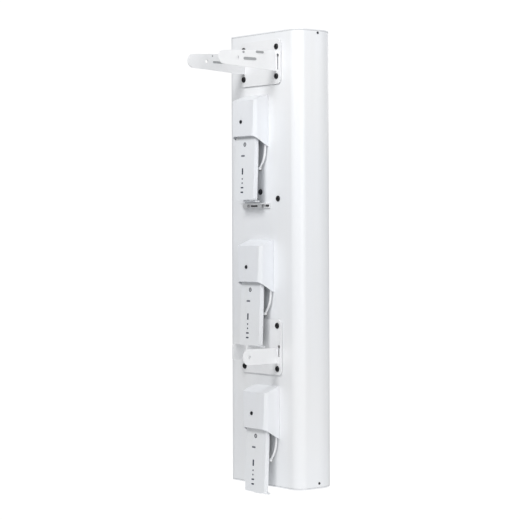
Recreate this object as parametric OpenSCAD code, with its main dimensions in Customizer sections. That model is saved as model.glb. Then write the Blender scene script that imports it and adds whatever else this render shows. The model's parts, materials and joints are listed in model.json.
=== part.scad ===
// Pole-mounted sector antenna with three plug-on radios, each under its own weather shroud.
// Panel frame used inside the modules: x across, -y out of the back, z up from the panel's lower end.
// hang() moves that frame so that the row's origin is the centre of the upper bracket's clamp bore.

/* [Panel] */
// Height over both end caps
panel_h = 1080; // [1060:1:1200]
// Width across the side walls
panel_w = 272; // [266:1:280]
// Depth from the flat back to the crown of the front
panel_d = 149; // [147:1:160]
// Wall thickness of the radome
wall = 3.5; // [2.5:0.1:5]
// Radius of the two back corners
back_r = 27; // [22:1:35]
// Radius of the two front corners
front_r = 70; // [60:1:75]
// Radius of the crowned front
crown_r = 210; // [200:1:240]
// Thickness of an end cap's cover plate
cap_t = 3; // [2:0.5:5]

/* [Radios] */
// Height of the uppermost shroud's top edge
unit_top = 932; // [925:1:934]
// Distance from one radio to the next
unit_pitch = 346; // [345:1:348]
// Sideways step from one radio to the next
stagger = 19; // [10:1:22]
// Width of a radio's front shell
radio_w = 74; // [70:1:76]
// Height of a radio
radio_h = 172; // [160:1:180]
// Distance of a radio's lower end below its shroud's top edge
radio_drop = 252; // [250:1:258]
// Distance of a radio's front from the panel at its lower end
radio_out = 40; // [38:1:44]
// Lean of a radio, lower end outwards, in degrees
lean = 2.5; // [1:0.5:3]

/* [Shrouds] */
// Width of a shroud
shroud_w = 91; // [90:1:94]
// Depth of a shroud at the foot of its front face
shroud_d = 44; // [43:1:50]
// Height of a shroud's side at the panel
shroud_h = 125; // [118:1:128]
// Wall thickness of a shroud
shroud_t = 2.2; // [1.8:0.1:2.4]

/* [Brackets] */
// Sheet thickness of both brackets
sheet = 3; // [2.5:0.5:4]
// Distance of each ear's middle from the centre line
ear_x = 60.5; // [56:0.5:62]
// Length of the upper bracket's ears, from the panel
top_ear_l = 173; // [150:1:190]
// Length of the lower bracket's long ear, from the panel
low_ear_l = 105; // [95:1:120]
// Length of the lower bracket's short flange, from the panel
low_flange_l = 44; // [30:1:60]
// Radius of the clamp and pivot bores
bore_r = 4.25; // [3.25:0.25:5.25]

/* [Hidden] */
$fn = 48;

// Clamp bore, which is the row's origin: distance from the panel and height
clamp_out = 118;
clamp_z = 1010;
// Pivot bore of the lower bracket
pivot_out = 86;
pivot_z = 312;
// Heights of the bolt rows and the bolts' distance from the centre line
bolt_x = 63;
top_rows = [1042, 972];
low_rows = [383, 281];
top_margin = 18;
low_margin = 15;
side_row = 683;
bolt_r = 3.9;
bolt_hole_r = 4.2;
bolt_head_r = 7;
bolt_head_h = 3.6;
bolt_len = 16;
// Rubber pads under the sheet parts on the panel's back
pad_t = 1;
pad_inset = 1.5;
foot_y = -pad_t - sheet;
// Foot and end of a long ear of the upper bracket, around its own middle height
top_ear_z = 1009.2;
top_ear_foot = [984, 1034];
top_ear_r = 16.3;
low_ear_r = 18.5;
// Keyholes beside the ears: distance from the centre line, and the lower and upper end of each
keyhole_x = ear_x + 7;
top_keyhole = [987, 1021];
low_keyhole = [309, 333];
keyhole_r = 4.4;
keyhole_slot_r = 2.2;
// Section of the panel: centres of its arcs, depth to which the side walls run
half_w = panel_w / 2;
side_y = panel_d - crown_r + sqrt(pow(crown_r - front_r, 2) - pow(half_w - front_r, 2));
crown_y = panel_d - crown_r;
front_x = half_w - front_r;
blend_a = atan2(side_y - crown_y, front_x);
arc_step = 4;
gasket_t = 0.8;
radome_z0 = cap_t + gasket_t;
radome_z1 = panel_h - cap_t - gasket_t;
skirt_h = 16;
skirt_t = 3;
fit_gap = 0.2;
cap_screw_z = [13, panel_h - 8];
cap_screw_y = 62;
// Chassis rail: a shallow channel that lies against the inside of the flat back
rail_w = 156;
rail_t = 2.5;
rail_y = wall + 0.3;
rail_lip = 18;
rail_z0 = 30;
rail_z1 = panel_h - 30;
// One reflector and board for each radio, each turned to its own third of the sector
turns = [-30, 0, 30];
array_h = 318;
array_z = [892, 541, 190];
array_y = 66;
reflector_w = 124;
board_w = 96;
patch = 30;
patch_n = 8;
patch_pitch = 38;
// Radio: depths of its shells, counted out from the cradle's back face
cradle_t = 2;
cradle_w = 36;
rear_gap = 0.3;
rear_y = cradle_t + rear_gap;
front_y = 16;
radio_d = 26;
rear_w = 44;
skin = 2;
door_w = 28;
door_pin_y = 15;
door_pin_z = -2.1;
button_x = 15.9;
button_y = 9;
jack_x = 15.5;
jack_y = 9.5;
// Marks on the front shell: sideways place, and heights above the radio's lower end
mark_x = -8;
bar_z = 68;
dot_z = [50, 40];
dash_z = [29, 18];
bar_size = [5, 15];
dot_r = 2.1;
dash_size = [10, 3.4];
// Radio port pair on the panel, measured from the shroud's top edge
port_x = 14;
port_z = -176;
ground_z = 700;
ground_x = -4;
// Screw and post that hold a shroud, measured from the unit's centre and the shroud's top edge
post_x = -6;
post_z = -65;
shroud_gap = 0.3;
shroud_top_d = shroud_d - 3;
shroud_slope = 15;
shroud_front_h = 84;
shroud_corner = 13;
// Radio jumper: its radius and its route on the right-hand side, in the unit's frame
jumper_r = 2.5;
jumper_start = -58;
plug_y = -7.8;
plug_half = 4;
jumper_route = [
    [15.5, -15.5, jumper_start], [15.5, -15.5, -50], [17.5, -14.5, -42], [23, -12, -37], [30, -9, -36.5],
    [36.5, -6.5, -42], [39.5, -5.7, -52], [40, -5.6, -70], [40, -5.6, -100], [40, -5.6, -126],
    [39.2, -5.6, -138], [36.3, -5.8, -150], [31.3, -6.3, -161], [26, -7.2, -169.5], [22, plug_y, -174.8],
    [20, plug_y, port_z], [port_x + plug_half, plug_y, port_z]
];
// Bar for cable ties under the uppermost radio: its shelf's height, half length, reach and flange
bar_top = 673;
bar_l = 52;
bar_reach = 13;
bar_flange = 12;
bar_t = 2;
bar_screw_x = 28;
bar_slot_drop = 6.6;
tie_slots = [[-22, 6], [36, 51]];
feed_r = 2;
feed_route = [[0, 14, 0], [0, 19, 0], [0, 26, 4], [0, 31, 14], [0, 32, 27], [0, 32, 40]];

// ---------- helpers ----------

function unit_x(i) = (i - 2) * stagger;

function unit_z(i) = unit_top - (i - 1) * unit_pitch;

function arc_points(cx, cy, r, a0, a1) =
    let (n = ceil(abs(a1 - a0) / arc_step))
    [for (k = [0:n]) let (a = a0 + (a1 - a0) * k / n) [cx + r * cos(a), cy + r * sin(a)]];

// Panel outline, drawn in by "inset" from the outer skin
function panel_outline(inset) = concat(
    arc_points(-half_w + back_r, back_r, back_r - inset, 180, 270),
    arc_points(half_w - back_r, back_r, back_r - inset, 270, 360),
    arc_points(front_x, side_y, front_r - inset, 0, blend_a),
    arc_points(0, crown_y, crown_r - inset, blend_a, 180 - blend_a),
    arc_points(-front_x, side_y, front_r - inset, 180 - blend_a, 180)
);

function unit_vector(v) = v / norm(v);

function tangent(path, i) = unit_vector(path[min(i + 1, len(path) - 1)] - path[max(i - 1, 0)]);

function ring(path, i, r, sides, ref) =
    let (t = tangent(path, i), u = unit_vector(cross(t, ref)), w = cross(t, u))
    [for (k = [0:sides - 1]) path[i] + r * (cos(360 * k / sides) * u + sin(360 * k / sides) * w)];

module tube(path, r, ref, sides = 8) {
    last = len(path) - 1;
    walls = [
        for (i = [0:last - 1], k = [0:sides - 1])
            let (a = i * sides + k, b = i * sides + (k + 1) % sides, c = b + sides, d = a + sides)
            each [[a, d, c], [a, c, b]]
    ];
    start_cap = [for (k = [0:sides - 1]) k];
    end_cap = [for (k = [sides - 1:-1:0]) last * sides + k];
    polyhedron(
        points = [for (i = [0:last]) each ring(path, i, r, sides, ref)],
        faces = concat([start_cap], walls, [end_cap])
    );
}

module hang() translate([0, clamp_out, -clamp_z]) children();

// Local frame of unit i: x from its centre line, z from its shroud's top edge
module unit(i) hang() translate([unit_x(i), 0, unit_z(i)]) children();

// Leaning frame of a radio: z from its lower end, -y out from the cradle's back face
module radio_frame(i) unit(i)
    translate([0, -(radio_out - radio_d), -radio_drop]) rotate([-lean, 0, 0]) children();

// Cylinder along y that runs from y0 to y1
module rod_y(r, y0, y1) translate([0, y1, 0]) rotate([90, 0, 0]) cylinder(r = r, h = y1 - y0);

module rod_x(r, x0, x1) translate([x0, 0, 0]) rotate([0, 90, 0]) cylinder(r = r, h = x1 - x0);

// Rounded rectangle, centred across x, from z0 to z1, extruded out to "out" from y
module plate(w, z0, z1, r, y, t) {
    translate([0, y, (z0 + z1) / 2]) rotate([90, 0, 0]) linear_extrude(t) round_rect(w, z1 - z0, r);
}

module round_rect(w, h, r) {
    square([w - 2 * r, h], center = true);
    square([w, h - 2 * r], center = true);
    for (sx = [-1, 1], sz = [-1, 1]) translate([sx * (w / 2 - r), sz * (h / 2 - r)]) circle(r);
}

// Box given by its lowest and highest corners
module block(lo, hi) translate(lo) cube(hi - lo);

// Places of every bolt that passes through the panel's back
module at_bolts(rows) for (z = rows, s = [-1, 1]) translate([s * bolt_x, 0, z]) children();

module at_ports(i) translate([unit_x(i), 0, unit_z(i) + port_z])
    for (s = [-1, 1]) translate([s * port_x, 0, 0]) children();

module at_cradle_screws(i) for (z = [-100, -170]) translate([unit_x(i), 0, unit_z(i) + z]) children();

module at_bar_screws() for (s = [-1, 1])
    translate([unit_x(1) + s * bar_screw_x, 0, bar_top - bar_slot_drop]) children();

// ---------- panel ----------

module radome() color("white") hang() difference() {
    translate([0, 0, radome_z0]) linear_extrude(radome_z1 - radome_z0) difference() {
        polygon(panel_outline(0));
        polygon(panel_outline(wall));
    }
    at_bolts(concat(top_rows, low_rows, [side_row])) rod_y(bolt_hole_r, -1, wall + 1);
    for (i = [1:3]) {
        at_ports(i) rod_y(4.2, -1, wall + 1);
        at_cradle_screws(i) rod_y(2.2, -1, wall + 1);
    }
    at_bar_screws() rod_y(2.2, -1, wall + 1);
    translate([ground_x, 0, ground_z]) rod_y(2.7, -1, wall + 1);
    at_cap_screws() rod_x(2.2, half_w - 2 * wall, half_w + 1);
}

module at_cap_screws() for (z = cap_screw_z, s = [0, 1])
    translate([0, cap_screw_y, z]) mirror([s, 0, 0]) children();

// End cap: cover plate, and a skirt that plugs into the radome
module end_cap() {
    linear_extrude(cap_t) polygon(panel_outline(0));
    translate([0, 0, cap_t]) linear_extrude(skirt_h) difference() {
        polygon(panel_outline(wall + fit_gap));
        polygon(panel_outline(wall + fit_gap + skirt_t));
    }
}

module top_cap() color("white") hang() difference() {
    translate([0, 0, panel_h]) mirror([0, 0, 1]) end_cap();
    at_cap_screws() rod_x(1.6, half_w - 12, half_w + 1);
}

module bottom_cap() color("white") hang() difference() {
    end_cap();
    at_cap_screws() rod_x(1.6, half_w - 12, half_w + 1);
    translate([0, side_y, -1]) cylinder(r = 4.1, h = cap_t + 2);
}

module cap_gaskets() color("gray") hang() for (z = [cap_t, panel_h - cap_t - gasket_t])
    translate([0, 0, z]) linear_extrude(gasket_t) difference() {
        polygon(panel_outline(0.6));
        polygon(panel_outline(wall - 0.2));
    }

module cap_screws() color("dimgray") hang() at_cap_screws() {
    rod_x(1.5, half_w - 10, half_w);
    rod_x(3, half_w, half_w + 1.2);
}

module vent_plug() color("black") hang() translate([0, side_y, 0]) {
    translate([0, 0, -2]) cylinder(r = 7, h = 2);
    cylinder(r = 4, h = cap_t + 2);
}

module chassis_rail() color("silver") hang() difference() {
    union() {
        block([-rail_w / 2, rail_y, rail_z0], [rail_w / 2, rail_y + rail_t, rail_z1]);
        for (s = [0, 1]) mirror([s, 0, 0])
            block([rail_w / 2 - rail_t, rail_y, rail_z0], [rail_w / 2, rail_y + rail_lip, rail_z1]);
    }
    at_bolts(concat(top_rows, low_rows, [side_row])) rod_y(4, 0, 20);
    for (i = [1:3]) {
        at_ports(i) rod_y(7, 0, 20);
        at_cradle_screws(i) rod_y(1.9, 0, 20);
    }
    at_bar_screws() rod_y(1.9, 0, 20);
    translate([ground_x, 0, ground_z]) rod_y(2.4, 0, 20);
}

// Folded tray behind one patch board, on four posts that stand on the chassis rail
module reflector(i) color("gainsboro") hang() translate([0, 0, array_z[i - 1]]) {
    translate([0, array_y, 0]) rotate([0, 0, turns[i - 1]]) {
        block([-reflector_w / 2, 0, -array_h / 2], [reflector_w / 2, 1.5, array_h / 2]);
        for (s = [0, 1]) mirror([s, 0, 0])
            block([reflector_w / 2 - 1.5, 0, -array_h / 2], [reflector_w / 2, 18, array_h / 2]);
        for (sx = [-1, 1], sz = [-1, 1]) translate([sx * 34, 0, sz * 120]) rod_y(3, 1.5, 8);
    }
    for (sx = [-1, 1], sz = [-1, 1]) {
        reach = array_y + sx * 40 * tan(turns[i - 1]);
        translate([sx * 40, 0, sz * 148]) rod_y(4, rail_y + rail_t, reach + 0.6);
    }
}

module patch_board(i) hang() translate([0, array_y, array_z[i - 1]]) rotate([0, 0, turns[i - 1]]) {
    color("darkgreen") block([-board_w / 2, 8, -array_h / 2 + 4], [board_w / 2, 9.6, array_h / 2 - 4]);
    color("peru") for (k = [0:patch_n - 1])
        translate([0, 9.6, (k - (patch_n - 1) / 2) * patch_pitch])
            block([-patch / 2, 0, -patch / 2], [patch / 2, 0.8, patch / 2]);
}

// Coaxial leads from the two panel ports up behind the reflector
module feed_cables(i) color("tan") hang() at_ports(i) tube(feed_route, feed_r, [1, 0, 0]);

// Ports on the panel's back: a jack and a nut for each radio lead
module bulkhead_jacks() color("goldenrod") hang() for (i = [1:3]) at_ports(i) {
    rod_y(3.2, -5.2, wall + 0.1);
    rod_y(6, wall + 0.1, 14);
}

module bulkhead_nuts() color("silver") hang() for (i = [1:3]) at_ports(i) difference() {
    rotate([90, 0, 0]) cylinder(r = 6.4, h = 2.4, $fn = 6);
    rod_y(3.3, -4, 1);
}

module ground_screw() color("darkslategray") hang() translate([ground_x, 0, ground_z]) {
    rod_y(2.3, 0, 14);
    rod_y(7, -1.2, 0);
    difference() {
        rod_y(4.6, -4.4, -1.2);
        rod_y(2, -5, -3);
    }
}

// ---------- radios ----------

module radio_front(i) color("white") radio_frame(i) difference() {
    plate(radio_w, 0, radio_h, 5, -front_y, radio_d - front_y);
    plate(radio_w - 2 * skin, skin, radio_h - skin, 3.5, -front_y + 1, radio_d - front_y - skin + 1);
    light_windows(0.1);
}

// Shapes of the light windows in the front shell, grown by "gap"
module light_windows(gap) {
    translate([mark_x, 0, 0]) {
        light_plate(bar_size, bar_z, gap);
        for (z = dot_z) translate([0, 0, z]) rod_y(dot_r + gap, -radio_d - 1, -radio_d + skin + 1);
        for (z = dash_z) light_plate(dash_size, z, gap);
    }
}

module light_plate(size, z, gap)
    plate(size[0] + 2 * gap, z - size[1] / 2 - gap, z + size[1] / 2 + gap, 1.5, -radio_d + skin + 1, skin + 2);

// Light pipes: one bar, two dots and two dashes, flush with the front shell's face
module status_lights(i) color("slategray") radio_frame(i) intersection() {
    light_windows(0);
    block([-radio_w / 2, -radio_d - 0.2, 0], [radio_w / 2, -radio_d + skin, radio_h]);
}

module radio_rear(i) color("white") radio_frame(i) difference() {
    union() {
        plate(rear_w, 0, radio_h, 4, -rear_y, front_y - rear_y);
        plate(radio_w - 2 * skin - 0.6, skin + 0.3, radio_h - skin - 0.3, 3, -front_y, 1.6);
        for (s = [-1, 1]) hinge_lug(s * 11);
    }
    plate(rear_w - 2 * skin, skin, radio_h - skin, 2.5, -rear_y - skin, front_y);
    block([-9, -13.5, -1], [9, -6, skin + 1]);
    translate([button_x, -button_y, -1]) cylinder(r = 1.8, h = skin + 2);
    for (s = [-1, 1]) translate([s * jack_x, -jack_y, radio_h - skin - 1]) cylinder(r = 3.4, h = skin + 2);
    translate([0, -door_pin_y, door_pin_z]) rod_x(0.85, -14, 14);
}

// Lug that carries one end of the port door's pin
module hinge_lug(x) {
    translate([0, -door_pin_y, door_pin_z]) rod_x(1.3, x - 1.2, x + 1.2);
    block([x - 1.2, -front_y + 0.1, door_pin_z], [x + 1.2, -door_pin_y + 1, 1]);
}

module radio_board(i) color("darkgreen") radio_frame(i)
    block([-19.5, -15.6, 6], [19.5, -14, radio_h - 6]);

// Connectors on the radio's board: two radio ports at the top, the network port at the bottom
module radio_jacks(i) color("silver") radio_frame(i) {
    for (s = [-1, 1]) translate([s * jack_x, -jack_y, radio_h - 14]) {
        cylinder(r = 3.2, h = 22);
        block([-4.4, -4.5, -6], [4.4, 4.5, 0]);
    }
    difference() {
        block([-8.5, -13.9, 3], [8.5, -5.6, 19]);
        block([-6.2, -13.4, 2], [6.2, -6.4, 16]);
    }
}

// Door over the network port, hinged at its front edge
module port_door(i) color("whitesmoke") radio_frame(i) {
    block([-door_w / 2, -door_pin_y + 1.4, -2], [door_w / 2, -4, -0.4]);
    block([-9, -door_pin_y, -2.8], [9, -door_pin_y + 1.4, -1.4]);
    translate([0, -door_pin_y, door_pin_z]) {
        rod_x(1.3, -9.4, 9.4);
        rod_x(0.8, -12.1, 12.1);
    }
}

// Reset button: a flange inside the rear shell keeps it in
module reset_button(i) color("dimgray") radio_frame(i) translate([button_x, -button_y, 0]) {
    translate([0, 0, -0.8]) cylinder(r = 1.5, h = 5);
    translate([0, 0, skin + 0.1]) cylinder(r = 2.1, h = 1);
}

// Cradle: leaning back plate, two stand-offs to the panel, foot with two hooks, top lip and shroud post
module radio_cradle(i) color("gainsboro") difference() {
    union() {
        radio_frame(i) {
            plate(cradle_w, 6, radio_h + 26, 4, 0, cradle_t);
            block([-9, -10, radio_h + 0.3], [9, 0, radio_h + 2.3]);
        }
        unit(i) {
            foot_z = -radio_drop - 0.9;
            block([-16, -15, foot_z - 3], [16, -12, foot_z + 12]);
            block([-24, -16, foot_z - 4], [24, -11, foot_z]);
            for (s = [-1, 1]) block([s * 21 - 2, -24, foot_z - 3], [s * 21 + 2, -13, foot_z - 0.2]);
            translate([post_x, 0, post_z]) rod_y(4.5, -shroud_d + 7, -5);
        }
        hang() at_cradle_screws(i) rod_y(6, -14, 0);
    }
    radio_frame(i) block([-40, -30, 0], [40, -cradle_t, radio_h + 0.2]);
    unit(i) translate([post_x, 0, post_z]) rod_y(2.1, -shroud_d, -12);
    hang() at_cradle_screws(i) {
        rod_y(2, -30, 1);
        rod_y(4, -30, -3);
    }
}

module cradle_screws() color("silver") hang() {
    for (i = [1:3]) at_cradle_screws(i) small_screw(-3);
    at_bar_screws() small_screw(-pad_t - bar_t);
}

module small_screw(y) {
    rod_y(1.8, y, 12);
    rod_y(3.6, y - 2.2, y);
}

// ---------- shrouds ----------

// Side outline of a shroud, drawn in by t on the front and top: distance out, and height
function shroud_side(t) = [
    [shroud_gap - (t > 0 ? 5 : 0), -t],
    [shroud_top_d - t, -shroud_slope - t],
    [shroud_d - t, -shroud_slope - shroud_front_h - (t > 0 ? 0.2 : 0)],
    [t > 0 ? shroud_d - t : shroud_d, -shroud_slope - shroud_front_h - (t > 0 ? 60 : 0)],
    [shroud_gap - (t > 0 ? 5 : 0), -shroud_h - (t > 0 ? 60 : 0)]
];

// Solid of a shroud: the side outline, rounded at its upright corners
module shroud_solid(w, t, r) intersection() {
    translate([-w / 2, 0, 0]) rotate([90, 0, 90]) linear_extrude(w)
        polygon([for (p = shroud_side(t)) [-p[0], p[1]]]);
    translate([0, 0, -shroud_h - 60]) linear_extrude(shroud_h + 70) {
        translate([-w / 2, -shroud_d + t + r]) square([w, shroud_d + 10]);
        translate([-w / 2 + r, -shroud_d + t]) square([w - 2 * r, shroud_d]);
        for (s = [-1, 1]) translate([s * (w / 2 - r), -shroud_d + t + r]) circle(r);
    }
}

module shroud(i) color("white") unit(i) difference() {
    shroud_solid(shroud_w, 0, shroud_corner);
    shroud_solid(shroud_w - 2 * shroud_t, shroud_t, shroud_corner - shroud_t);
    translate([post_x, 0, post_z]) rod_y(2.3, -shroud_d - 1, -shroud_d / 2);
    translate([post_x, 0, post_z]) rod_y(4.6, -shroud_d - 1, -shroud_d + 2.4);
}

module shroud_screw(i) color("dimgray") unit(i) translate([post_x, 0, post_z]) difference() {
    union() {
        rod_y(1.9, -shroud_d + 2.4, -22);
        rod_y(4.3, -shroud_d - 0.4, -shroud_d + 2.4);
    }
    block([-3.4, -shroud_d - 1, -0.6], [3.4, -shroud_d + 0.8, 0.6]);
}

// ---------- jumpers ----------

// Two leads from the radio's ports to the panel's ports, with a plug on each end
module rf_jumpers(i) unit(i) for (s = [0, 1]) mirror([s, 0, 0]) {
    color("white") tube(jumper_route, jumper_r, [0, 1, 0]);
    color("silver") {
        translate([jack_x, -15.5, jumper_start - 20]) difference() {
            cylinder(r = 4.6, h = 20);
            translate([0, 0, -1]) cylinder(r = 3.8, h = 16);
        }
        translate([port_x, 0, port_z]) {
            difference() {
                rod_y(4.4, -6, -2.6);
                rod_y(3.4, -5.4, -2);
            }
            block([-plug_half, plug_y - 2.5, -plug_half], [plug_half, -6, plug_half]);
        }
    }
}

// ---------- brackets ----------

// Point at which a line from p touches the circle of radius r around c, on the side s
function touch(p, c, r, s) =
    let (d = p - c, a = atan2(d[1], d[0]) + s * acos(r / norm(d))) c + r * [cos(a), sin(a)];

// Long ear in the plane x = 0: its foot's lower and upper end, and a full-round end around the height z
module long_ear(reach, foot, z, r) rotate([90, 0, 90]) translate([0, 0, -sheet / 2]) linear_extrude(sheet) {
    c = [-reach + r, z];
    low = [-pad_t, foot[0]];
    high = [-pad_t, foot[1]];
    polygon([low, high, touch(high, c, r, 1), touch(low, c, r, -1)]);
    translate(c) circle(r);
}

// Short flange in the plane x = 0: square, with rounded outer corners
module short_flange(reach, z, hh, r) rotate([90, 0, 90]) translate([0, 0, -sheet / 2]) linear_extrude(sheet) {
    translate([-reach + r, z - hh]) square([reach - r - pad_t, 2 * hh]);
    translate([-reach, z - hh + r]) square([2 * r, 2 * (hh - r)]);
    for (s = [-1, 1]) translate([-reach + r, z + s * (hh - r)]) circle(r);
}

// Slot along y from y0 to y1 at height z, with round ends of radius r, from x0 to x1
module slot_x(y0, y1, z, r, x0, x1) {
    for (y = [y0 + r, y1 - r]) translate([0, y, z]) rod_x(r, x0, x1);
    block([x0, y0 + r, z - r], [x1, y1 - r, z + r]);
}

// Slots and the small hole of a long ear, drawn in by "inset"
module ear_slots(inset, x0, x1) {
    slot_x(-100 + inset, -64 - inset, top_ear_z - 0.2, 2.6 - inset, x0, x1);
    slot_x(-64 + inset, -42 - inset, 1026, 2 - inset, x0, x1);
    translate([0, -101, 1023.5]) rod_x(2.2 - inset, x0, x1);
}

// Pair of keyholes between two heights: one has its head at the upper end, the other at the lower end
module keyholes(ends) for (s = [-1, 1]) translate([s * keyhole_x, 0, 0]) {
    block([-keyhole_slot_r, foot_y - 1, ends[0]], [keyhole_slot_r, 0, ends[1]]);
    translate([0, 0, s > 0 ? ends[1] : ends[0]]) rod_y(keyhole_r, foot_y - 1, 0);
}

// Base plate with its bolt holes, for the rows given
module base_plate(rows, margin, inset, y, t) difference() {
    plate(2 * (bolt_x + 14 - inset), rows[1] - margin + inset, rows[0] + margin - inset, 12 - inset, y, t);
    at_bolts(rows) rod_y(bolt_hole_r, y - t - 1, y + 1);
}

module top_bracket() color("white") hang() difference() {
    union() {
        base_plate(top_rows, top_margin, 0, -pad_t, sheet);
        for (s = [-1, 1]) translate([s * ear_x, 0, 0])
            long_ear(top_ear_l, top_ear_foot, top_ear_z, top_ear_r);
    }
    keyholes(top_keyhole);
    translate([0, -clamp_out, clamp_z]) rod_x(bore_r, -ear_x * 2, ear_x * 2);
    ear_slots(0, -ear_x * 2, ear_x * 2);
}

module bottom_bracket() color("white") hang() difference() {
    union() {
        base_plate(low_rows, low_margin, 0, -pad_t, sheet);
        translate([ear_x, 0, 0])
            long_ear(low_ear_l, [pivot_z - low_ear_r, pivot_z + low_ear_r], pivot_z, low_ear_r);
        translate([-ear_x, 0, 0]) short_flange(low_flange_l, pivot_z + 4, 19, 5);
    }
    keyholes(low_keyhole);
    translate([0, -pivot_out, pivot_z]) rod_x(bore_r, ear_x - sheet, ear_x + sheet);
}

// Rubber pads between the panel and the sheet parts on it, and the plugs in the long ears' slots
module bracket_rubbers() color("black") hang() {
    base_plate(top_rows, top_margin, pad_inset, 0, pad_t);
    base_plate(low_rows, low_margin, pad_inset, 0, pad_t);
    difference() {
        translate([unit_x(1), 0, bar_top])
            plate(2 * (bar_l - pad_inset), pad_inset - bar_flange, -pad_inset, 1, 0, pad_t);
        at_bar_screws() rod_y(2.2, -pad_t - 1, 1);
    }
    for (s = [0, 1]) mirror([s, 0, 0]) {
        ear_slots(0.05, ear_x - sheet / 2, ear_x + sheet / 2);
        ear_slots(-0.7, ear_x + sheet / 2, ear_x + sheet / 2 + 0.8);
    }
}

// Bar for cable ties: slotted flange on the panel and a shelf along its upper edge
module cable_bar() color("white") hang() difference() {
    translate([unit_x(1), 0, 0]) {
        block([-bar_l, -pad_t - bar_t, bar_top - bar_flange], [bar_l, -pad_t, bar_top]);
        block([-bar_l, -bar_reach, bar_top - bar_t], [bar_l, -pad_t - bar_t, bar_top]);
    }
    for (x = tie_slots) translate([unit_x(1), 0, 0])
        block([x[0], -bar_reach, bar_top - bar_slot_drop - 2], [x[1], 0, bar_top - bar_slot_drop + 2]);
    at_bar_screws() rod_y(2.2, -bar_reach, 1);
}

// Pan-head bolt through plate thickness t, with a hex socket
module pan_bolt(t) {
    rod_y(bolt_r, -t, bolt_len - t);
    difference() {
        rod_y(bolt_head_r, -t - bolt_head_h, -t);
        translate([0, -t - 1.4, 0]) rotate([90, 0, 0]) cylinder(r = 2.9, h = 4, $fn = 6);
    }
}

module top_bracket_bolts() color("black") hang() at_bolts(top_rows) pan_bolt(sheet + pad_t);

module bottom_bracket_bolts() color("black") hang() at_bolts(low_rows) pan_bolt(sheet + pad_t);

module side_screws() color("black") hang() at_bolts([side_row]) pan_bolt(0);

// ---------- assembly ----------

radome();
top_cap();
bottom_cap();
cap_gaskets();
cap_screws();
chassis_rail();
bulkhead_jacks();
bulkhead_nuts();
ground_screw();
vent_plug();
bracket_rubbers();
cable_bar();
cradle_screws();
top_bracket();
bottom_bracket();
top_bracket_bolts();
bottom_bracket_bolts();
side_screws();
for (i = [1:3]) {
    reflector(i);
    patch_board(i);
    feed_cables(i);
    radio_front(i);
    radio_rear(i);
    radio_board(i);
    status_lights(i);
    radio_jacks(i);
    port_door(i);
    reset_button(i);
    radio_cradle(i);
    shroud(i);
    shroud_screw(i);
    rf_jumpers(i);
}
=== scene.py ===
import json
import math

import bmesh
import bpy
from mathutils import Matrix, Vector

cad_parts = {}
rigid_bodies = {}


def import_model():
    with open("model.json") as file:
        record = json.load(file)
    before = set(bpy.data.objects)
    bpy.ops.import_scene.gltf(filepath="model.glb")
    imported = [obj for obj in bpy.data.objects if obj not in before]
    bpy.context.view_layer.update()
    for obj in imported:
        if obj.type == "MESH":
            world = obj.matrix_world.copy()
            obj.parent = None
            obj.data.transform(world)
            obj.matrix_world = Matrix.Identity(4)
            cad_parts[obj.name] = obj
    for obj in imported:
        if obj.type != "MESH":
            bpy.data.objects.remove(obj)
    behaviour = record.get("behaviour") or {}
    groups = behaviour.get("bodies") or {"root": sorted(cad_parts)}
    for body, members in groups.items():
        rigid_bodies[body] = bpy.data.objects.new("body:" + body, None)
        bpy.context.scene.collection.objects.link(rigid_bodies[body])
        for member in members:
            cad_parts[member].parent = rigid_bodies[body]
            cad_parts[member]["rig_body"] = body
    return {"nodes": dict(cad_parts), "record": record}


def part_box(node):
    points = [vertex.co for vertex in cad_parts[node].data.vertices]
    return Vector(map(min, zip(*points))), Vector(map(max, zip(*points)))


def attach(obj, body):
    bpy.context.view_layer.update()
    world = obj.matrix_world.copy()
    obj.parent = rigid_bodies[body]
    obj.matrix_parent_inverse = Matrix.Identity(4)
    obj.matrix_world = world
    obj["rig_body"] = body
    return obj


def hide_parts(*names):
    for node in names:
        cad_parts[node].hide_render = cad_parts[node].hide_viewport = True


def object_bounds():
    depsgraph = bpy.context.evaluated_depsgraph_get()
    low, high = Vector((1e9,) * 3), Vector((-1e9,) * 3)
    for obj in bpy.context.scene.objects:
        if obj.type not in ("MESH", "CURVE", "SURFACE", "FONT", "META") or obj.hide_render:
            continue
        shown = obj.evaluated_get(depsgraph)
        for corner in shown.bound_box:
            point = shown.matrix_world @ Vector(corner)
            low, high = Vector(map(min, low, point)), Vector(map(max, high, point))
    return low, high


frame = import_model()
CAD_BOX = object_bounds()
NODES = frame["nodes"]
UNITS = (1, 2, 3)
MM = 0.001

# Panel frame: the middle of the flat back at its foot, from which x runs across and -y outwards
BACK = Vector((0.0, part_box("radome")[0].y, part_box("bottom_cap")[0].z))
# Radio frame, as in the CAD model: how far each radio leans, and the depths of its shells
LEAN = math.radians(2.5)
RADIO_DEPTH = 26 * MM
RADIO_SPLIT = 16 * MM
# Distance within which the CAD meshes' points are one, and angles in degrees: under FLAT, faces are one
# flat face; over SHARP, an edge is shaded sharp; over ROUNDED, it is rounded
SEAM = 0.002
FLAT = 0.6
SHARP = 32
ROUNDED = 34
# Pan-head bolts: head height, head radius, shank radius and the socket's half width
BOLT_HEAD = 3.6
BOLT_RADIUS = 7.0
BOLT_SHANK = 3.9
BOLT_SOCKET = 2.5
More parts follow.
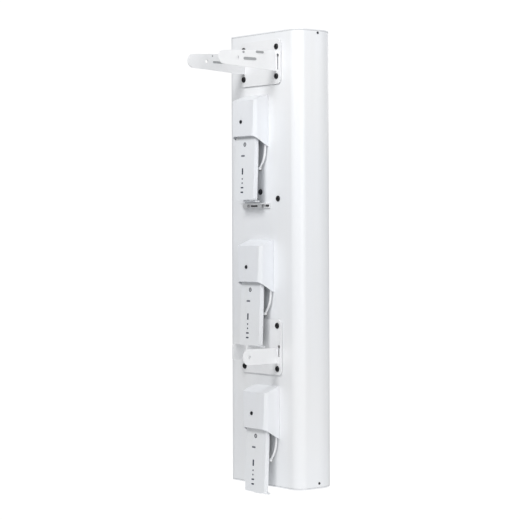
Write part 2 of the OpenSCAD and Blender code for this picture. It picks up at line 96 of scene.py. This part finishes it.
# Radio lead on the +X side of a unit: from the radio's plug over the panel to the plug on the panel
JUMPER_RADIUS = 2.5
BOOT_WALL = 1.0
BOOT_STEPS = (0, 2, 4, 6)
CURVE_STEPS = 5
JUMPER_ROUTE = (
    (15.5, -15.5, -58), (15.5, -15.5, -50), (17.5, -14.5, -42), (23, -12, -37), (30, -9, -36.5),
    (36.5, -6.5, -42), (39.5, -5.7, -52), (40, -5.6, -70), (40, -5.6, -100), (40, -5.6, -126),
    (39.2, -5.6, -138), (36.3, -5.8, -150), (31.3, -6.3, -161), (26, -7.2, -169.5), (22, -7.8, -174.8),
    (20, -7.8, -176), (18, -7.8, -176),
)
# Plugs on a lead, outwards from the cable's end or the panel, and the place of the panel's ports
PORT_X = 14
PORT_Z = -176
RADIO_PLUG = (
    (0, 0, 0), (0, 4.0, 0), (0.5, 4.6, 0), (8.6, 4.6, 0), (9.1, 4.1, 0), (9.9, 4.1, 0), (10, 4.0, 6),
    (19.8, 4.0, 6), (20, 3.85, 0), (20, 3.75, 0), (5, 3.75, 0), (5, 0, 0),
)
PANEL_PLUG_SLEEVE = (
    (5.4, 0, 0), (5.4, 3.4, 0), (2.6, 3.4, 0), (2.6, 4.2, 0), (2.8, 4.4, 0), (6.0, 4.4, 0), (6.0, 0, 0),
)
PANEL_PLUG_BODY = ((5.6, 0, 0), (5.6, 3.9, 4), (9.8, 3.9, 4), (10.3, 3.4, 4), (10.3, 0, 0))
PLUG_EDGE = 0.25
# Rubber parts: a pad is no farther out from the panel than this, and a plug in an ear is
PAD_REACH = 3
RUBBER_EDGE = 0.2
# Printed inlays on a radio's face, in its own frame: the label's rings are (depth into the face, inset)
LABEL_X, LABEL_Z = -8, 105
LABEL_SIZE = (14, 4.2)
LABEL_SIDES = 32
LABEL_RINGS = ((0.5, 0), (-0.03, 0), (-0.09, 0.12))
BADGE_X, BADGE_Z = -2, 132
BADGE_RINGS = (
    (-0.6, 0, 0), (-0.6, 5.2, 0), (0.04, 5.2, 0), (0.1, 5.0, 0), (0.1, 2.9, 0),
    (0.04, 2.7, 0), (-0.2, 2.6, 0), (-0.2, 1.6, 0), (0.06, 1.5, 0), (0.06, 0, 0),
)


# ---------------------------------------------------------------- camera

# Distances in metres, sensor and lens in millimetres, shift in parts of the picture's width
CAMERA_AZIMUTH = math.radians(51.97)
CAMERA_DISTANCE = 4.1733
CAMERA_HEIGHT = 0.60965
CAMERA_ROLL = math.radians(0.21)
SENSOR = 36.0
LENS = 120.9
SHIFT = (-0.0036, -0.0583)


def make_camera():
    """Level camera behind the panel and to its right, shifted so that the object sits high in the frame."""
    data = bpy.data.cameras.new("camera")
    data.sensor_width = SENSOR
    data.lens = LENS
    data.shift_x, data.shift_y = SHIFT
    data.clip_end = 50
    camera = bpy.data.objects.new("camera", data)
    bpy.context.scene.collection.objects.link(camera)
    out = Vector((math.sin(CAMERA_AZIMUTH), -math.cos(CAMERA_AZIMUTH), 0))
    right = Vector((math.cos(CAMERA_AZIMUTH), math.sin(CAMERA_AZIMUTH), 0))
    up = Vector((0, 0, 1)) * math.cos(CAMERA_ROLL) + right * math.sin(CAMERA_ROLL)
    side = up.cross(out).normalized()
    axes = Matrix((side, up, out)).transposed()
    camera.matrix_world = Matrix.Translation(
        BACK + out * CAMERA_DISTANCE + Vector((0, 0, CAMERA_HEIGHT))
    ) @ axes.to_4x4()
    bpy.context.scene.camera = camera


# ---------------------------------------------------------------- materials

def shader(name):
    """A new material, its node tree and its Principled shader."""
    material = bpy.data.materials.new(name)
    material.use_nodes = True
    tree = material.node_tree
    return material, tree, tree.nodes["Principled BSDF"]


def noise(tree, scale, detail=2.0, stretch=(1, 1, 1), roughness=0.5):
    """Noise over the object's own coordinates, in features per metre."""
    place = tree.nodes.new("ShaderNodeTexCoord")
    mapping = tree.nodes.new("ShaderNodeMapping")
    mapping.inputs["Scale"].default_value = stretch
    texture = tree.nodes.new("ShaderNodeTexNoise")
    texture.inputs["Scale"].default_value = scale
    texture.inputs["Detail"].default_value = detail
    texture.inputs["Roughness"].default_value = roughness
    tree.links.new(place.outputs["Object"], mapping.inputs["Vector"])
    tree.links.new(mapping.outputs["Vector"], texture.inputs["Vector"])
    return texture.outputs["Fac"]


def spread(tree, value, low, high, start=0.35, end=0.65):
    """Maps a noise value from start..end to low..high."""
    node = tree.nodes.new("ShaderNodeMapRange")
    node.inputs["From Min"].default_value = start
    node.inputs["From Max"].default_value = end
    node.inputs["To Min"].default_value = low
    node.inputs["To Max"].default_value = high
    tree.links.new(value, node.inputs["Value"])
    return node.outputs["Result"]


def blend_colours(tree, factor, first, second):
    """Mixes two colours by a factor; either may be another node's output."""
    node = tree.nodes.new("ShaderNodeMix")
    node.data_type = "RGBA"
    tree.links.new(factor, node.inputs["Factor"])
    for socket, colour in (("A", first), ("B", second)):
        target = [s for s in node.inputs if s.name == socket and s.type == "RGBA"][0]
        if isinstance(colour, bpy.types.NodeSocket):
            tree.links.new(colour, target)
        else:
            target.default_value = (*colour, 1)
    return [s for s in node.outputs if s.type == "RGBA"][0]


def bump(tree, base, height, strength, distance):
    """Adds a bump layer under the shader, on top of one that is already there."""
    node = tree.nodes.new("ShaderNodeBump")
    node.inputs["Strength"].default_value = strength
    node.inputs["Distance"].default_value = distance
    tree.links.new(height, node.inputs["Height"])
    target = base.inputs["Normal"]
    if target.is_linked:
        tree.links.new(target.links[0].from_socket, node.inputs["Normal"])
    tree.links.new(node.outputs["Normal"], target)


def white_plastic(name, colour, rough, grain, grain_depth, wave_depth=0.0):
    """Moulded or extruded white plastic: fine grain, a slow change of tone and faint dusty streaks."""
    material, tree, base = shader(name)
    dusty = tuple(c * k for c, k in zip(colour, (0.955, 0.955, 0.945)))
    cool = tuple(min(1.0, c * k) for c, k in zip(colour, (0.985, 0.995, 1.01)))
    slow = spread(tree, noise(tree, 4.0, 3), 0.0, 1.0)
    streak = spread(tree, noise(tree, 34.0, 4, (1, 1, 0.06)), 0.0, 0.55, 0.52, 0.78)
    toned = blend_colours(tree, slow, colour, cool)
    tree.links.new(blend_colours(tree, streak, toned, dusty), base.inputs["Base Color"])
    tree.links.new(spread(tree, noise(tree, 22.0, 5), rough - 0.05, rough + 0.06), base.inputs["Roughness"])
    bump(tree, base, noise(tree, grain, 2), 0.35, grain_depth)
    if wave_depth:
        bump(tree, base, noise(tree, 55.0, 1), 0.25, wave_depth)
    base.inputs["IOR"].default_value = 1.49
    return material


def powder_coat(name, colour):
    """Powder coat on sheet steel: orange peel, tiny nibs and slightly worn tone."""
    material, tree, base = shader(name)
    worn = tuple(c * 0.93 for c in colour)
    patch = spread(tree, noise(tree, 45.0, 6, roughness=0.65), 0.0, 0.6, 0.5, 0.8)
    tree.links.new(blend_colours(tree, patch, colour, worn), base.inputs["Base Color"])
    tree.links.new(spread(tree, noise(tree, 120.0, 3), 0.30, 0.42), base.inputs["Roughness"])
    bump(tree, base, noise(tree, 700.0, 2), 0.4, 0.00010)
    bump(tree, base, noise(tree, 2600.0, 1), 0.2, 0.00003)
    base.inputs["Coat Weight"].default_value = 0.15
    base.inputs["Coat Roughness"].default_value = 0.25
    return material


def coated_steel(name, colour, rough, metallic):
    """Black or dark zinc on a fastener: smudged gloss and fine turning scratches."""
    material, tree, base = shader(name)
    rubbed = tuple(min(1.0, c * 2.6 + 0.02) for c in colour)
    wear = spread(tree, noise(tree, 420.0, 5, roughness=0.7), 0.0, 0.5, 0.56, 0.75)
    tree.links.new(blend_colours(tree, wear, colour, rubbed), base.inputs["Base Color"])
    tree.links.new(spread(tree, noise(tree, 300.0, 4), rough - 0.08, rough + 0.12), base.inputs["Roughness"])
    bump(tree, base, noise(tree, 2200.0, 2), 0.3, 0.00003)
    base.inputs["Metallic"].default_value = metallic
    return material


def bare_metal(name, colour, rough, stretch=(1, 1, 1), scale=900.0):
    """Plated or milled metal, brushed along one axis where stretch says so."""
    material, tree, base = shader(name)
    darker = tuple(c * 0.82 for c in colour)
    tone = spread(tree, noise(tree, scale * 0.4, 4, stretch), 0.0, 1.0)
    tree.links.new(blend_colours(tree, tone, colour, darker), base.inputs["Base Color"])
    gloss = spread(tree, noise(tree, scale, 3, stretch), rough - 0.07, rough + 0.1)
    tree.links.new(gloss, base.inputs["Roughness"])
    bump(tree, base, noise(tree, scale, 3, stretch), 0.25, 0.00004)
    base.inputs["Metallic"].default_value = 1.0
    return material


def soft_plastic(name, colour, rough, grain=1500.0):
    """Rubber, cable jacket or small moulding: fine grain and a little bloom."""
    material, tree, base = shader(name)
    bloom = tuple(min(1.0, c * 1.08 + 0.015) for c in colour)
    tone = spread(tree, noise(tree, 160.0, 4), 0.0, 0.7)
    tree.links.new(blend_colours(tree, tone, colour, bloom), base.inputs["Base Color"])
    tree.links.new(spread(tree, noise(tree, 240.0, 3), rough - 0.06, rough + 0.08), base.inputs["Roughness"])
    bump(tree, base, noise(tree, grain, 2), 0.3, 0.00004)
    return material


def circuit_board(name):
    """Green solder mask with the fine squares of traces showing through."""
    material, tree, base = shader(name)
    cells = tree.nodes.new("ShaderNodeTexVoronoi")
    cells.distance = "CHEBYCHEV"
    cells.inputs["Scale"].default_value = 240.0
    place = tree.nodes.new("ShaderNodeTexCoord")
    tree.links.new(place.outputs["Object"], cells.inputs["Vector"])
    trace = spread(tree, cells.outputs["Distance"], 0.0, 0.6, 0.2, 0.5)
    green = blend_colours(tree, trace, (0.012, 0.10, 0.045), (0.03, 0.19, 0.09))
    tree.links.new(green, base.inputs["Base Color"])
    tree.links.new(spread(tree, noise(tree, 90.0, 3), 0.25, 0.38), base.inputs["Roughness"])
    bump(tree, base, cells.outputs["Distance"], 0.2, 0.00003)
    return material


def light_window(name):
    """Smoky light pipe: milky body with a clear, polished face."""
    material, tree, base = shader(name)
    milk = spread(tree, noise(tree, 380.0, 3), 0.0, 1.0)
    smoke = blend_colours(tree, milk, (0.035, 0.045, 0.075), (0.06, 0.07, 0.105))
    tree.links.new(smoke, base.inputs["Base Color"])
    tree.links.new(spread(tree, noise(tree, 200.0, 2), 0.12, 0.22), base.inputs["Roughness"])
    bump(tree, base, noise(tree, 900.0, 1), 0.15, 0.00003)
    base.inputs["Transmission Weight"].default_value = 0.15
    base.inputs["Coat Weight"].default_value = 0.5
    return material


WHITE = (0.90, 0.905, 0.915)
MATERIALS = {
    "radome_shell": white_plastic("radome_white", WHITE, 0.36, 900.0, 0.00003, 0.00012),
    "end_cap": white_plastic("end_cap_white", (0.87, 0.875, 0.885), 0.5, 1500.0, 0.00007),
    "radio_shell": white_plastic("radio_white", (0.86, 0.87, 0.885), 0.5, 1400.0, 0.00008),
    "shroud_shell": white_plastic("shroud_white", (0.85, 0.86, 0.88), 0.5, 1300.0, 0.00008),
    "cradle_plastic": white_plastic("cradle_grey", (0.80, 0.81, 0.82), 0.55, 1300.0, 0.00008),
    "door_plastic": white_plastic("door_grey", (0.80, 0.81, 0.82), 0.5, 1500.0, 0.00006),
    "bracket_coat": powder_coat("bracket_coat", (0.88, 0.885, 0.895)),
    "black_bolt": coated_steel("black_zinc", (0.012, 0.012, 0.014), 0.42, 0.35),
    "dark_screw": coated_steel("dark_zinc", (0.035, 0.038, 0.045), 0.38, 0.6),
    "stainless": bare_metal("stainless", (0.62, 0.62, 0.63), 0.3),
    "chassis_aluminium": bare_metal("mill_aluminium", (0.80, 0.81, 0.82), 0.34, (1, 1, 0.04), 700.0),
    "nickel_plate": bare_metal("nickel", (0.66, 0.65, 0.62), 0.28),
    "gold_plate": bare_metal("gold_plate", (0.83, 0.62, 0.26), 0.24),
    "circuit_board": circuit_board("solder_mask"),
    "coax_jacket": soft_plastic("coax_jacket", (0.46, 0.30, 0.16), 0.4),
    "jumper_jacket": soft_plastic("jumper_jacket", (0.86, 0.865, 0.875), 0.42),
    "gasket": soft_plastic("foam_gasket", (0.42, 0.43, 0.44), 0.85),
    "button_rubber": soft_plastic("button_rubber", (0.05, 0.053, 0.06), 0.6),
    "vent": soft_plastic("vent_plastic", (0.02, 0.02, 0.022), 0.45),
    # Painted shade in part: the rubber pads are black, and their black, seen in the brackets' keyhole slots,
    # stands for the shade in the slots
    "rubber_pad": soft_plastic("pad_rubber_slot_shade", (0.022, 0.022, 0.025), 0.62),
    "light_window": light_window("light_window"),
}
SLOT_OF = {s["node"]: s["material_slot"] for s in frame["record"]["subparts"]}
EMBLEM = soft_plastic("emblem_print", (0.05, 0.055, 0.07), 0.45)
# Painted shade: the grey of the plugs in the ears' slots stands for the shaded panel seen through the slots
SLOT_SHADE_GREY = soft_plastic("slot_shade_grey", (0.34, 0.35, 0.36), 0.55)
LABEL = soft_plastic("label_film", (0.14, 0.15, 0.18), 0.5)


# ---------------------------------------------------------------- pieces

def add_piece(name, mesh, node, material=None, replaced=(), slot=None):
    """Links a new piece that rides on the node's body and hides the nodes it replaces; its material is the
    one given, else that of the given slot, else that of the node's slot.
    """
    slot = slot or SLOT_OF[node]
    piece = bpy.data.objects.new(name, mesh)
    bpy.context.scene.collection.objects.link(piece)
    mesh.materials.clear()
    mesh.materials.append(material or MATERIALS[slot])
    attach(piece, NODES[node]["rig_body"])
    if replaced:
        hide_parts(*replaced)
    return piece


def smooth(mesh):
    """Shades the mesh smooth, and keeps its sharp edges."""
    mesh.polygons.foreach_set("use_smooth", [True] * len(mesh.polygons))
    mesh.set_sharp_from_angle(angle=math.radians(SHARP))


def bevel(piece, width, segments=3):
    """Rounds the piece's edges, and keeps its flat faces flat to the light."""
    rounding = piece.modifiers.new("edge_rounding", "BEVEL")
    rounding.width = width
    rounding.segments = segments
    rounding.limit_method = "ANGLE"
    rounding.angle_limit = math.radians(ROUNDED)
    rounding.use_clamp_overlap = True
    flats = piece.modifiers.new("flat_faces", "WEIGHTED_NORMAL")
    flats.keep_sharp = True
    flats.weight = 100


def cad_shape(node):
    """The CAD node's shape with its seams joined and its flat faces made whole."""
    bm = bmesh.new()
    bm.from_mesh(NODES[node].data)
    bmesh.ops.remove_doubles(bm, verts=bm.verts, dist=SEAM * MM)
    bmesh.ops.dissolve_limit(
        bm, angle_limit=math.radians(FLAT), verts=bm.verts, edges=bm.edges, use_dissolve_boundaries=False
    )
    bmesh.ops.recalc_face_normals(bm, faces=bm.faces)
    return bm


def as_mesh(bm, name):
    """The finished shape as a smoothly shaded mesh."""
    mesh = bpy.data.meshes.new(name)
    bm.to_mesh(mesh)
    bm.free()
    smooth(mesh)
    return mesh


def solids(bm):
    """The separate solids of a shape, as lists of vertices."""
    left = set(bm.verts)
    found = []
    while left:
        queue = [left.pop()]
        group = list(queue)
        while queue:
            for edge in queue.pop().link_edges:
                for vert in edge.verts:
                    if vert in left:
                        left.discard(vert)
                        queue.append(vert)
                        group.append(vert)
        found.append(group)
    return found


def round_edges(node, width):
    """Replaces a CAD node by the same shape with rounded edges."""
    piece = add_piece(node + "_rounded", as_mesh(cad_shape(node), node), node, None, (node,))
    bevel(piece, width)


def join_rings(bm, rings, sides):
    """Adds the faces from each ring of points to the next; a ring may be a single point."""
    added = []
    for near, far in zip(rings, rings[1:]):
        for k in range(sides):
            n = (k + 1) % sides
            quad = [near[k % len(near)], near[n % len(near)], far[n % len(far)], far[k % len(far)]]
            added.append(bm.faces.new(list(dict.fromkeys(quad))))
    return added


def turned(bm, profile, origin, axis, sides=48, start=0.0):
    """Adds a solid turned around an axis. Each ring of the profile is (distance along, radius, corners):
    0 corners is round, and 4 or 6 a square or hexagon whose flats are that far from the axis."""
    axis = Vector(axis).normalized()
    u = axis.orthogonal().normalized()
    u.rotate(Matrix.Rotation(start, 3, axis))
    w = axis.cross(u)
    rings = []
    for along, radius, corners in profile:
        middle = origin + axis * along * MM
        if not radius:
            rings.append([bm.verts.new(middle)])
            continue
        ring = []
        for k in range(sides):
            turn = 2 * math.pi * k / sides
            reach = radius * MM
            if corners:
                part = 2 * math.pi / corners
                reach /= math.cos(turn % part - part / 2)
            ring.append(bm.verts.new(middle + (u * math.cos(turn) + w * math.sin(turn)) * reach))
        rings.append(ring)
    bmesh.ops.recalc_face_normals(bm, faces=join_rings(bm, rings, sides))


def smooth_path(points):
    """Points of a smooth curve through the given ones."""
    ends = [points[0] * 2 - points[1], *points, points[-1] * 2 - points[-2]]
    path = []
    for a, b, c, d in zip(ends, ends[1:], ends[2:], ends[3:]):
        for k in range(CURVE_STEPS):
            t = k / CURVE_STEPS
            square = a * 2 - b * 5 + c * 4 - d
            cube = b * 3 - a - c * 3 + d
            path.append((b * 2 + (c - a) * t + square * t**2 + cube * t**3) / 2)
    return path + [points[-1]]


def lead(bm, path, radius, sides=20):
    """Adds a round lead along a path, closed at both ends."""
    across = (path[1] - path[0]).orthogonal().normalized()
    rings = []
    for k, place in enumerate(path):
        along = (path[min(k + 1, len(path) - 1)] - path[max(k - 1, 0)]).normalized()
        across = (across - along * across.dot(along)).normalized()
        other = along.cross(across)
        ring = []
        for n in range(sides):
            turn = 2 * math.pi * n / sides
            ring.append(bm.verts.new(place + (across * math.cos(turn) + other * math.sin(turn)) * radius))
        rings.append(ring)
    join_rings(bm, rings, sides)
    bm.faces.new(reversed(rings[0]))
    bm.faces.new(rings[-1])


def unit_point(i, x, y, z):
    """A point given in millimetres from unit i's centre line, the panel's back and the shroud's top edge."""
    low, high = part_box(f"radio_front_{i}")
    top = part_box(f"shroud_{i}")[1].z
    return Vector(((low.x + high.x) / 2 + x * MM, BACK.y + y * MM, top + z * MM))


def radio_matrix(i):
    """Places the leaning frame of radio i: z from its lower end, -y out from its cradle's back face."""
    low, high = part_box(f"radio_front_{i}")
    origin = Vector(
        (
            (low.x + high.x) / 2,
            low.y + RADIO_DEPTH * math.cos(LEAN),
            low.z - RADIO_SPLIT * math.sin(LEAN),
        )
    )
    return Matrix.Translation(origin) @ Matrix.Rotation(-LEAN, 4, "X")


def bolt_profile(inner):
    """Rings of a pan-head bolt, from the end of its shank, that far in, out to its hexagon socket."""
    head, radius, shank, socket = BOLT_HEAD, BOLT_RADIUS, BOLT_SHANK, BOLT_SOCKET
    return [
        (-inner, 0, 0), (-inner, shank - 0.6, 0), (-inner + 0.8, shank, 0), (0, shank, 0),
        (0, radius - 0.2, 0), (0.25, radius, 0), (head * 0.35, radius - 0.1, 0),
        (head * 0.62, radius * 0.93, 0), (head * 0.84, radius * 0.8, 0), (head * 0.96, radius * 0.65, 0),
        (head, socket * 1.3, 0), (head - 0.05, socket * 1.16, 6), (head - 0.35, socket, 6),
        (head - 1.9, socket, 6), (head - 2.2, 0, 0),
    ]


def bolt_places(node):
    """Middles of the heads' undersides, for bolts at the corners of a node's box."""
    low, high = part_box(node)
    radius = BOLT_RADIUS * MM
    across = sorted({round(low.x + radius, 6), round(high.x - radius, 6)})
    up = sorted({round(low.z + radius, 6), round(high.z - radius, 6)})
    return [Vector((x, low.y + BOLT_HEAD * MM, z)) for x in across for z in up]


def make_bolts(node):
    """Pan-head bolts with hexagon sockets, in place of the CAD model's plain heads."""
    low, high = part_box(node)
    profile = bolt_profile((high.y - low.y) / MM - BOLT_HEAD)
    bm = bmesh.new()
    for place in bolt_places(node):
        turned(bm, profile, place, (0, -1, 0))
    add_piece(node + "_turned", as_mesh(bm, node), node, None, (node,))


def boot_path(start, towards):
    """Short straight path from a cable's end, for the boot around it."""
    way = (towards - start).normalized()
    return [start + way * k * MM for k in BOOT_STEPS]


def make_jumpers(i):
    """The two radio leads as round, smoothly bent cables with boots, and a plug on each end."""
    node = f"rf_jumpers_{i}"
    cables = bmesh.new()
    plugs = bmesh.new()
    for side in (-1, 1):
        route = [unit_point(i, side * x, y, z) for x, y, z in JUMPER_ROUTE]
        lead(cables, smooth_path(route), JUMPER_RADIUS * MM)
        lead(cables, boot_path(route[0], route[1]), (JUMPER_RADIUS + BOOT_WALL) * MM)
        lead(cables, boot_path(route[-1], route[-2]), (JUMPER_RADIUS + BOOT_WALL) * MM)
        turned(plugs, RADIO_PLUG, route[0], (0, 0, -1))
        elbow = unit_point(i, side * PORT_X, 0, PORT_Z)
        turned(plugs, PANEL_PLUG_SLEEVE, elbow, (0, -1, 0))
        turned(plugs, PANEL_PLUG_BODY, elbow, (0, -1, 0), start=math.radians(45))
    add_piece(f"jumper_cables_{i}", as_mesh(cables, "jumper_cables"), node, None, (node,))
    piece = add_piece(f"jumper_plugs_{i}", as_mesh(plugs, "jumper_plugs"), node, slot="nickel_plate")
    bevel(piece, PLUG_EDGE * MM, 2)


def make_rubbers():
    """Black rubber pads under the brackets, whose black in the keyhole slots is painted shade, and grey
    plugs in the ears' slots, whose grey is painted shade for the shaded panel seen through them.
    """
    node = "bracket_rubbers"
    reach = BACK.y - PAD_REACH * MM
    # Painted shade: the pads' black in the keyhole slots and the plugs' grey in the ears' slots stand for
    # the shade seen in the slots
    for name, material, is_pad in (("bracket_pads", None, True), ("ear_slot_shade_plugs", SLOT_SHADE_GREY, False)):
        bm = cad_shape(node)
        others = [v for group in solids(bm) if (group[0].co.y > reach) != is_pad for v in group]
        bmesh.ops.delete(bm, geom=others, context="VERTS")
        piece = add_piece(name, as_mesh(bm, name), node, material, (node,) if is_pad else ())
        bevel(piece, RUBBER_EDGE * MM, 2)


def label_bar(bm, face, place):
    """Adds a thin bar with round ends, let into the plane y = face."""
    half, r = (LABEL_SIZE[0] - LABEL_SIZE[1]) / 2, LABEL_SIZE[1] / 2
    rings = []
    for depth, inset in LABEL_RINGS:
        ring = []
        for k in range(LABEL_SIDES):
            turn = 2 * math.pi * (k + 0.5) / LABEL_SIDES
            end = half if math.cos(turn) > 0 else -half
            across = end + (r - inset) * math.cos(turn)
            point = Vector((across, face + depth, (r - inset) * math.sin(turn)))
            ring.append(bm.verts.new(place @ (point * MM)))
        rings.append(ring)
    join_rings(bm, rings, LABEL_SIDES)
    bm.faces.new(rings[0])
    bm.faces.new(reversed(rings[-1]))
    bmesh.ops.recalc_face_normals(bm, faces=bm.faces)


def make_marks(i):
    """Printed label and round badge, let into the radio's front face."""
    frame_of_radio = radio_matrix(i)
    node = f"radio_front_{i}"
    face = -RADIO_DEPTH / MM
    label = bmesh.new()
    label_bar(label, face, frame_of_radio @ Matrix.Translation(Vector((LABEL_X, 0, LABEL_Z)) * MM))
    add_piece(f"label_{i}", as_mesh(label, "label"), node, LABEL)
    badge = bmesh.new()
    outwards = frame_of_radio.to_3x3() @ Vector((0, -1, 0))
    turned(badge, BADGE_RINGS, frame_of_radio @ (Vector((BADGE_X, face, BADGE_Z)) * MM), outwards)
    add_piece(f"badge_{i}", as_mesh(badge, "badge"), node, EMBLEM)


def finish_in_place(node):
    """Keeps a CAD node and gives it its material."""
    mesh = NODES[node].data
    mesh.materials.clear()
    mesh.materials.append(MATERIALS[SLOT_OF[node]])


# ---------------------------------------------------------------- stage

# Distances here are in metres
FLOOR_RADIUS = 1.0
FLOOR_SIDES = 96
FLOOR_DROP = 0.35
FLOOR_GLOW = 0.45
# Strength of the surroundings, as the camera sees them and as they light the object
SKY_SEEN = 1.05
SKY_LIGHT = 0.30
# Height of the lights' centre up the panel's back, then each light: its name, its place and the height of
# its aim from that centre, its size and its power in watts
LIGHT_CENTRE = 0.55
LIGHTS = (
    ("key", (0.35, -1.6, 1.5), 0.2, (0.7, 0.7), 27),
    ("side", (2.4, -0.35, 0.7), 0.15, (1.4, 2.0), 27),
    ("front", (1.5, 1.7, 1.2), 0.2, (1.2, 1.2), 13),
    ("rear fill", (-1.2, 2.4, 1.2), 0.1, (1.6, 1.6), 9),
)


def make_floor():
    """Round pale floor, below the lowest radio."""
    bm = bmesh.new()
    bmesh.ops.create_circle(bm, cap_ends=True, segments=FLOOR_SIDES, radius=FLOOR_RADIUS)
    mesh = bpy.data.meshes.new("floor")
    bm.to_mesh(mesh)
    bm.free()
    material, tree, base = shader("floor_paper")
    tone = spread(tree, noise(tree, 1.5, 3), 0.0, 1.0)
    pale = blend_colours(tree, tone, (0.93, 0.93, 0.93), (0.95, 0.95, 0.95))
    tree.links.new(pale, base.inputs["Base Color"])
    base.inputs["Roughness"].default_value = 0.9
    base.inputs["Emission Color"].default_value = (1, 1, 1, 1)
    base.inputs["Emission Strength"].default_value = FLOOR_GLOW
    mesh.materials.append(material)
    floor = bpy.data.objects.new("floor", mesh)
    floor.location = (0, 0, CAD_BOX[0].z - FLOOR_DROP)
    bpy.context.scene.collection.objects.link(floor)


def make_light(name, place, aim, size, power):
    """Rectangular light at a place, turned towards its aim."""
    data = bpy.data.lights.new(name, "AREA")
    data.shape = "RECTANGLE"
    data.size, data.size_y = size
    data.energy = power
    light = bpy.data.objects.new(name, data)
    light.location = place
    light.rotation_mode = "QUATERNION"
    light.rotation_quaternion = (place - aim).to_track_quat("Z", "Y")
    bpy.context.scene.collection.objects.link(light)


def make_world():
    """White surroundings to look at, and a softer grey to light the object with."""
    world = bpy.data.worlds.new("studio")
    bpy.context.scene.world = world
    world.use_nodes = True
    tree = world.node_tree
    seen = tree.nodes["Background"]
    seen.inputs["Color"].default_value = (1, 1, 1, 1)
    seen.inputs["Strength"].default_value = SKY_SEEN
    lit = tree.nodes.new("ShaderNodeBackground")
    lit.inputs["Color"].default_value = (0.96, 0.98, 1.0, 1)
    lit.inputs["Strength"].default_value = SKY_LIGHT
    rays = tree.nodes.new("ShaderNodeLightPath")
    mix = tree.nodes.new("ShaderNodeMixShader")
    tree.links.new(rays.outputs["Is Camera Ray"], mix.inputs["Fac"])
    tree.links.new(lit.outputs["Background"], mix.inputs[1])
    tree.links.new(seen.outputs["Background"], mix.inputs[2])
    tree.links.new(mix.outputs["Shader"], tree.nodes["World Output"].inputs["Surface"])


def make_stage():
    """Floor, surroundings and lights."""
    centre = BACK + Vector((0, 0, LIGHT_CENTRE))
    make_floor()
    make_world()
    for name, place, aim_height, size, power in LIGHTS:
        make_light(name, centre + Vector(place), centre + Vector((0, 0, aim_height)), size, power)
    bpy.context.scene.view_settings.view_transform = "Standard"


# ---------------------------------------------------------------- assembly

# Widths of the rounded edges in millimetres, of single nodes and of the nodes that each unit has
ROUNDING = {
    "radome": 0.5, "top_cap": 1.1, "bottom_cap": 1.1, "top_bracket": 0.7, "bottom_bracket": 0.7,
    "ground_screw": 0.5, "vent_plug": 0.4, "bulkhead_nuts": 0.3, "bulkhead_jacks": 0.3, "cap_screws": 0.4,
    "cradle_screws": 0.4, "cable_bar": 0.35,
}
UNIT_ROUNDING = {
    "radio_front": 1.8, "radio_rear": 0.6, "shroud": 1.3, "radio_cradle": 0.5, "port_door": 0.35,
    "reset_button": 0.3, "shroud_screw": 0.6, "status_lights": 0.1, "radio_jacks": 0.25,
}
BOLTS = ("top_bracket_bolts", "bottom_bracket_bolts", "side_screws")
# CAD nodes that stay as they are, out of sight inside the panel and the radios
KEPT = ("cap_gaskets", "chassis_rail")
UNIT_KEPT = ("reflector", "patch_board", "feed_cables", "radio_board")


def make_object():
    """Every piece of the object, node by node."""
    for node, width in ROUNDING.items():
        round_edges(node, width * MM)
    for node in BOLTS:
        make_bolts(node)
    for i in UNITS:
        for kind, width in UNIT_ROUNDING.items():
            round_edges(f"{kind}_{i}", width * MM)
        for kind in UNIT_KEPT:
            finish_in_place(f"{kind}_{i}")
        make_jumpers(i)
        make_marks(i)
    make_rubbers()
    for node in KEPT:
        finish_in_place(node)


make_camera()
make_stage()
make_object()
